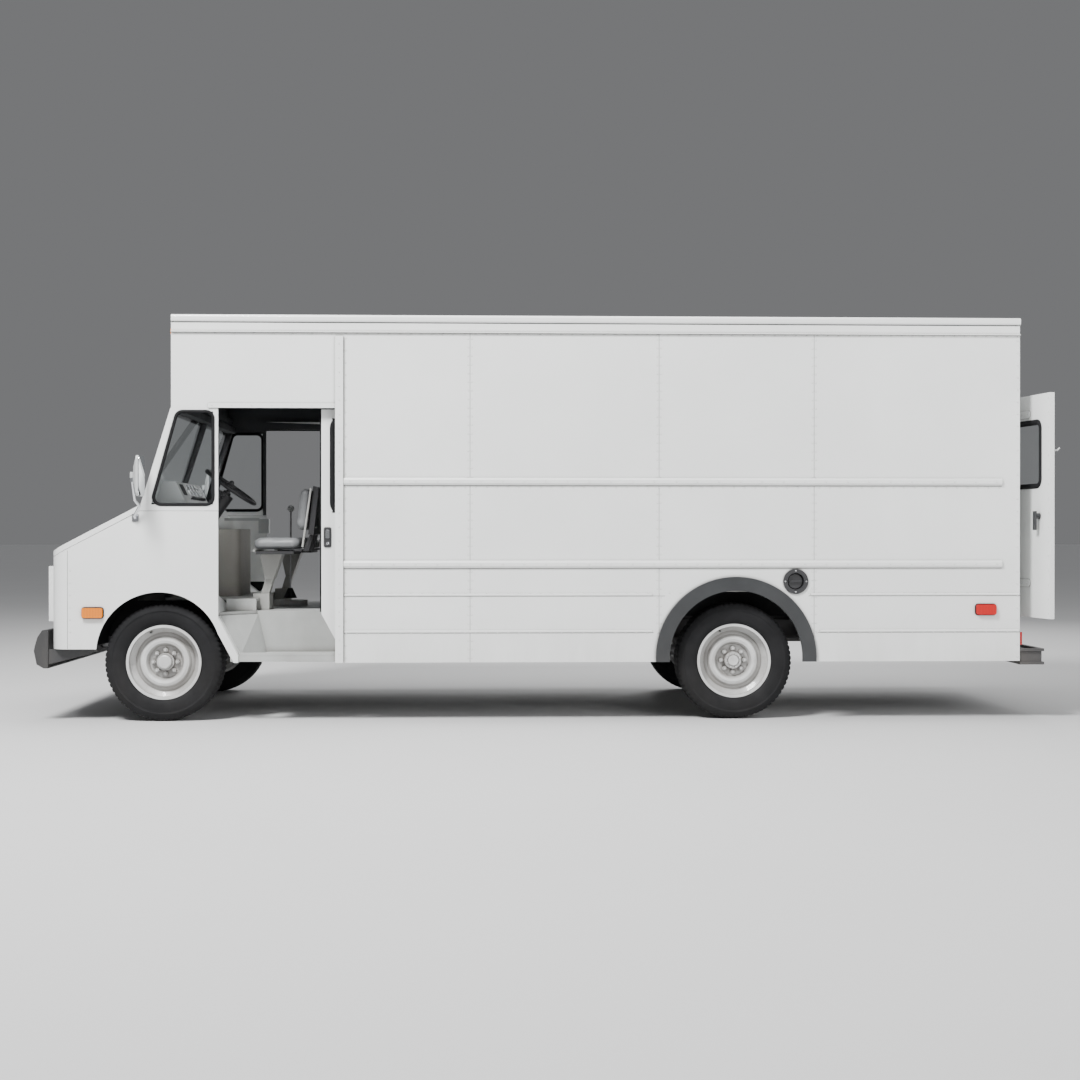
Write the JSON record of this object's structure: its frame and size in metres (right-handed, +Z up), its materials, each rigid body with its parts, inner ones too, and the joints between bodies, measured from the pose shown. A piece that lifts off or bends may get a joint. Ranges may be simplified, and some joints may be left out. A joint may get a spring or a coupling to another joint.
{
  "type": "walk-in mail delivery truck",
  "caption": "Walk-in delivery truck with a sloped nose, boxy riveted body, sliding cab doors and swinging rear doors, for mail and parcels.",
  "frame": {"origin": "on the ground, under the middle of the overall length and width", "axes": "+X towards the rear, +Y towards the truck's right side, +Z up"},
  "size_m": [7.1115, 2.88, 2.823],
  "materials": {
    "white_paint": "semi-gloss white paint on riveted aluminium",
    "black_paint": "satin black paint",
    "chassis_paint": "dull dark chassis paint",
    "floor_metal": "worn light grey floor paint",
    "bare_steel": "bare steel",
    "cast_metal": "cast, dull",
    "wheel_paint": "white painted steel wheel",
    "tyre_rubber": "tyre rubber",
    "chrome_trim": "bright metal",
    "glass": "clear glass",
    "lens": "amber and red lamp lenses",
    "black_plastic": "black plastic",
    "grey_plastic": "grey moulded plastic",
    "beige_cover": "moulded engine cover",
    "seat_vinyl": "grey vinyl",
    "seat_metal": "grey paint",
    "boot_rubber": "rubber"
  },
  "bodies": {
    "truck": {"chassis_frame": "chassis_paint", "front_bumper": "black_paint", "rear_bumper": "chassis_paint", "leaf_springs": "chassis_paint", "front_axle_beam": "chassis_paint", "rear_axle_housing": "cast_metal", "engine": "cast_metal", "radiator": "black_paint", "exhaust": "bare_steel", "fuel_tank": "chassis_paint", "floor_panels": "floor_metal", "side_panel_left": "white_paint", "side_panel_right": "white_paint", "roof_panel": "white_paint", "rear_frame": "white_paint", "cab_front": "white_paint", "nose_shell": "white_paint", "side_trim": "white_paint", "grille": "white_paint", "lamps": "lens", "cab_glass": "glass", "dashboard": "grey_plastic", "steering_column": "black_plastic", "engine_cover": "beige_cover", "seat_pedestals": "seat_metal", "seat_cushions": "seat_vinyl", "mirror_arms": "white_paint"},
    "drive_line": {"driveshaft": "bare_steel"},
    "cooling_fan": {"engine_fan": "bare_steel"},
    "left_knuckle": {"knuckle_left": "cast_metal"},
    "right_knuckle": {"knuckle_right": "cast_metal"},
    "steering_tie_rod": {"tie_rod": "bare_steel"},
    "front_left_wheel": {"wheel_front_left": "wheel_paint", "tyre_front_left": "tyre_rubber"},
    "front_right_wheel": {"wheel_front_right": "wheel_paint", "tyre_front_right": "tyre_rubber"},
    "rear_left_wheel": {"wheel_rear_left": "wheel_paint", "tyre_rear_left": "tyre_rubber"},
    "rear_right_wheel": {"wheel_rear_right": "wheel_paint", "tyre_rear_right": "tyre_rubber"},
    "engine_hood": {"hood": "white_paint"},
    "left_sliding_door": {"sliding_door_left": "white_paint", "sliding_door_glass_left": "glass"},
    "right_sliding_door": {"sliding_door_right": "white_paint", "sliding_door_glass_right": "glass"},
    "left_rear_door": {"rear_door_left": "white_paint", "rear_door_glass_left": "glass"},
    "right_rear_door": {"rear_door_right": "white_paint", "rear_door_glass_right": "glass"},
    "rear_handle": {"rear_door_handle": "black_paint"},
    "hand_wheel": {"steering_wheel": "black_plastic"},
    "brake_lever": {"brake_pedal": "black_paint"},
    "accelerator_lever": {"accelerator_pedal": "black_paint"},
    "shift_lever": {"gear_lever": "bare_steel", "gear_lever_boot": "boot_rubber"},
    "left_wiper": {"wiper_left": "black_paint"},
    "right_wiper": {"wiper_right": "black_paint"},
    "left_mirror": {"mirror_head_left": "white_paint"},
    "right_mirror": {"mirror_head_right": "white_paint"},
    "filler_cap": {"fuel_cap": "black_plastic"}
  },
  "joints": [
    {"name": "steer_left", "type": "hinge", "parent": "truck", "child": "left_knuckle", "pos_m": [-2.66875, -0.87, 0.41], "axis": [0, 0, 1], "range_deg": [-32, 32]},
    {"name": "steer_right", "type": "hinge", "parent": "truck", "child": "right_knuckle", "pos_m": [-2.66875, 0.87, 0.41], "axis": [0, 0, 1], "range_deg": [-32, 32]},
    {"name": "tie_rod_slide", "type": "slide", "parent": "truck", "child": "steering_tie_rod", "axis": [0, 1, 0], "range_m": [-0.084, 0.084]},
    {"name": "steering_wheel_turn", "type": "hinge", "parent": "truck", "child": "hand_wheel", "pos_m": [-2.29675, -0.555, 1.645], "axis": [0.5736, 0, 0.8192], "range_deg": [-520, 520]},
    {"name": "wheel_spin_front_left", "type": "hinge", "parent": "left_knuckle", "child": "front_left_wheel", "pos_m": [-2.66875, -1.031, 0.41], "axis": [0, 1, 0], "continuous": true},
    {"name": "wheel_spin_front_right", "type": "hinge", "parent": "right_knuckle", "child": "front_right_wheel", "pos_m": [-2.66875, 1.031, 0.41], "axis": [0, 1, 0], "continuous": true},
    {"name": "wheel_spin_rear_left", "type": "hinge", "parent": "truck", "child": "rear_left_wheel", "pos_m": [1.31925, -1.011, 0.41], "axis": [0, 1, 0], "continuous": true},
    {"name": "wheel_spin_rear_right", "type": "hinge", "parent": "truck", "child": "rear_right_wheel", "pos_m": [1.31925, 1.011, 0.41], "axis": [0, 1, 0], "continuous": true},
    {"name": "driveshaft_spin", "type": "hinge", "parent": "truck", "child": "drive_line", "pos_m": [-0.06875, 0, 0.41], "axis": [1, 0, 0], "continuous": true},
    {"name": "fan_spin", "type": "hinge", "parent": "truck", "child": "cooling_fan", "pos_m": [-3.18875, 0, 0.62], "axis": [1, 0, 0], "continuous": true},
    {"name": "left_door_slide", "type": "slide", "parent": "truck", "child": "left_sliding_door", "axis": [-1, 0, 0], "range_m": [0, 0.706]},
    {"name": "right_door_slide", "type": "slide", "parent": "truck", "child": "right_sliding_door", "axis": [-1, 0, 0], "range_m": [0, 0.706]},
    {"name": "rear_door_left_hinge", "type": "hinge", "parent": "truck", "child": "left_rear_door", "pos_m": [3.35125, -0.69, 1.5], "axis": [0, 0, 1], "range_deg": [-3, 171]},
    {"name": "rear_door_right_hinge", "type": "hinge", "parent": "truck", "child": "right_rear_door", "pos_m": [3.35125, 0.69, 1.5], "axis": [0, 0, -1], "range_deg": [-3, 171]},
    {"name": "rear_handle_turn", "type": "hinge", "parent": "left_rear_door", "child": "rear_handle", "pos_m": [3.45595, -1.22319, 1.43], "axis": [-0.9877, -0.1564, 0], "range_deg": [0, 90]},
    {"name": "hood_hinge", "type": "hinge", "parent": "truck", "child": "engine_hood", "pos_m": [-2.83075, 0, 1.4977], "axis": [0, 1, 0], "range_deg": [0, 55]},
    {"name": "brake_pedal_press", "type": "hinge", "parent": "truck", "child": "brake_lever", "pos_m": [-2.70875, -0.47, 1.18], "axis": [0, 1, 0], "range_deg": [0, 16], "stiffness_Nm_per_rad": 40, "springref_deg": -14.32},
    {"name": "accelerator_pedal_press", "type": "hinge", "parent": "truck", "child": "accelerator_lever", "pos_m": [-2.70875, -0.35, 1.18], "axis": [0, 1, 0], "range_deg": [0, 14], "stiffness_Nm_per_rad": 25, "springref_deg": -14.32},
    {"name": "gear_lever_shift", "type": "hinge", "parent": "truck", "child": "shift_lever", "pos_m": [-1.93375, 0, 0.806], "axis": [0, 1, 0], "range_deg": [-11, 11]},
    {"name": "wiper_left_sweep", "type": "hinge", "parent": "truck", "child": "left_wiper", "pos_m": [-2.6097, -0.56, 2.172], "axis": [0.9544, 0, -0.2987], "range_deg": [-95, 0]},
    {"name": "wiper_right_sweep", "type": "hinge", "parent": "truck", "child": "right_wiper", "pos_m": [-2.6097, 0.56, 2.172], "axis": [0.9544, 0, -0.2987], "range_deg": [0, 95]},
    {"name": "mirror_left_swivel", "type": "hinge", "parent": "truck", "child": "left_mirror", "pos_m": [-2.83675, -1.34, 1.706], "axis": [0, 0, 1], "range_deg": [-25, 25]},
    {"name": "mirror_right_swivel", "type": "hinge", "parent": "truck", "child": "right_mirror", "pos_m": [-2.83675, 1.34, 1.706], "axis": [0, 0, 1], "range_deg": [-25, 25]},
    {"name": "fuel_cap_turn", "type": "hinge", "parent": "truck", "child": "filler_cap", "pos_m": [1.73925, -1.15, 0.971], "axis": [0, 1, 0], "range_deg": [0, 120]}
  ],
  "couplings": [
    {"joint": "steer_right", "follows": "steer_left", "ratio": 1},
    {"joint": "tie_rod_slide", "follows": "steer_left", "m_per_rad": 0.15},
    {"joint": "steering_wheel_turn", "follows": "steer_left", "ratio": 16},
    {"joint": "wheel_spin_rear_right", "follows": "wheel_spin_rear_left", "ratio": 1},
    {"joint": "driveshaft_spin", "follows": "wheel_spin_rear_left", "ratio": -4.1},
    {"joint": "wiper_right_sweep", "follows": "wiper_left_sweep", "ratio": -1}
  ]
}
